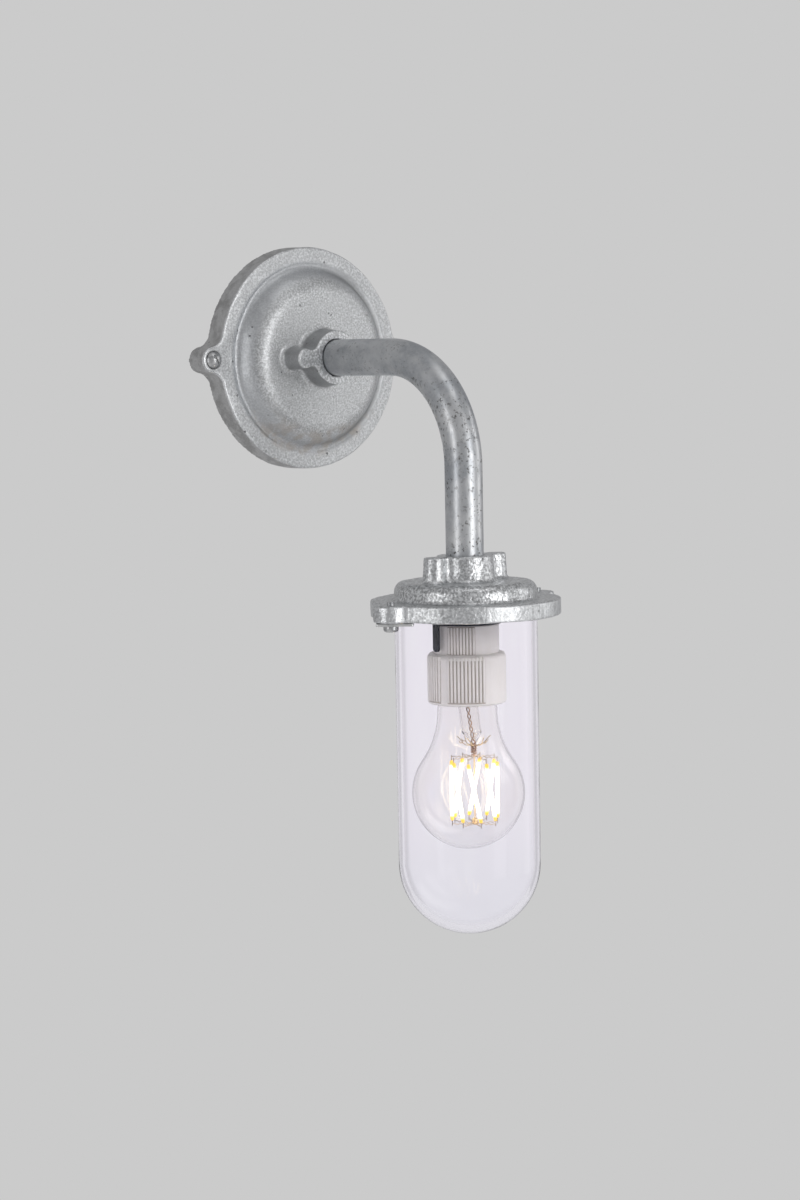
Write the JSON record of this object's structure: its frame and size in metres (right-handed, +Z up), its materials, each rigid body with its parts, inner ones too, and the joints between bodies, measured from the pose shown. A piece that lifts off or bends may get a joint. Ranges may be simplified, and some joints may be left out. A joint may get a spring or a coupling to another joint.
{
  "type": "bracket light",
  "caption": "Outdoor bracket light: a round cast wall plate with ears, a tube arm bent down, and a cast head with a clear well glass round a screw-cap filament lamp.",
  "frame": {"origin": "centre of the wall plate's back face, on the wall", "axes": "+Y into the wall, -Y out along the arm, +Z up, +X to the right as seen from the room"},
  "size_m": [0.1484, 0.1981, 0.3685],
  "materials": {
    "galvanised_casting": "hot-dip galvanised iron casting, granular and bright",
    "galvanised_tube": "galvanised steel conduit, dull blue grey with dark specks",
    "zinc_screw": "bright zinc plate",
    "zinc_clip": "bright zinc plate",
    "black_nylon": "black nylon",
    "gasket_rubber": "grey silicone rubber",
    "dark_strip": "black finished steel strip",
    "ivory_plastic": "ivory white moulded plastic",
    "porcelain": "white porcelain",
    "brass": "plain brass",
    "white_nylon": "white nylon",
    "brown_sleeve": "brown wire sleeve",
    "blue_sleeve": "blue wire sleeve",
    "earth_sleeve": "green and yellow wire sleeve",
    "well_glass": "clear pressed glass",
    "lamp_glass": "clear blown glass",
    "nickel_cap": "nickel-plated screw cap",
    "black_glass": "black glass insulator",
    "solder": "soldered tip",
    "driver_board": "green circuit board",
    "filament": "glowing filament strip",
    "frame_wire": "nickel wire"
  },
  "bodies": {
    "mount_and_head": {"wall_plate": "galvanised_casting", "wall_screws": "zinc_screw", "arm_tube": "galvanised_tube", "edge_bushes": "black_nylon", "head_casting": "galvanised_casting", "glass_gasket": "gasket_rubber", "lampholder_bracket": "dark_strip", "bracket_screws": "zinc_screw", "holder_body": "ivory_plastic", "holder_skirt": "ivory_plastic", "holder_insert": "porcelain", "screw_shell": "brass", "centre_contact": "brass", "holder_clamps": "brass", "holder_clamp_screws": "zinc_screw", "terminal_block": "white_nylon", "terminal_bars": "brass", "terminal_screws": "zinc_screw", "block_screws": "zinc_screw", "earth_screw": "brass", "earth_tag": "zinc_clip", "live_wire": "brown_sleeve", "neutral_wire": "blue_sleeve", "earth_wire": "earth_sleeve"},
    "glass_unit": {"well_glass": "well_glass", "clip_screws": "zinc_screw"},
    "left_clip": {"glass_clip_left": "zinc_clip"},
    "right_clip": {"glass_clip_right": "zinc_clip"},
    "lamp_tip": {"cap_insulator": "black_glass", "cap_contact": "solder"},
    "lamp": {"lamp_glass": "lamp_glass", "lamp_cap": "nickel_cap", "lamp_driver": "driver_board", "lamp_stem": "lamp_glass", "filaments": "filament", "filament_frame": "frame_wire"}
  },
  "joints": [
    {"name": "glass_drop", "type": "slide", "parent": "mount_and_head", "child": "glass_unit", "axis": [0, 0, -1], "range_m": [0, 0.135]},
    {"name": "left_clip_swing", "type": "hinge", "parent": "glass_unit", "child": "left_clip", "pos_m": [-0.0514, -0.142, -0.1371], "axis": [0, 0, 1], "range_deg": [-79, 41]},
    {"name": "right_clip_swing", "type": "hinge", "parent": "glass_unit", "child": "right_clip", "pos_m": [0.0514, -0.142, -0.1371], "axis": [0, 0, 1], "range_deg": [-79, 41]},
    {"name": "lamp_advance", "type": "slide", "parent": "mount_and_head", "child": "lamp_tip", "axis": [0, 0, -1], "range_m": [0, 0.01452]},
    {"name": "lamp_turn", "type": "hinge", "parent": "lamp_tip", "child": "lamp", "pos_m": [0, -0.142, -0.17], "axis": [0, 0, -1], "range_deg": [0, 1440]}
  ],
  "couplings": [
    {"joint": "lamp_advance", "follows": "lamp_turn", "m_per_rad": 0.00057757}
  ]
}
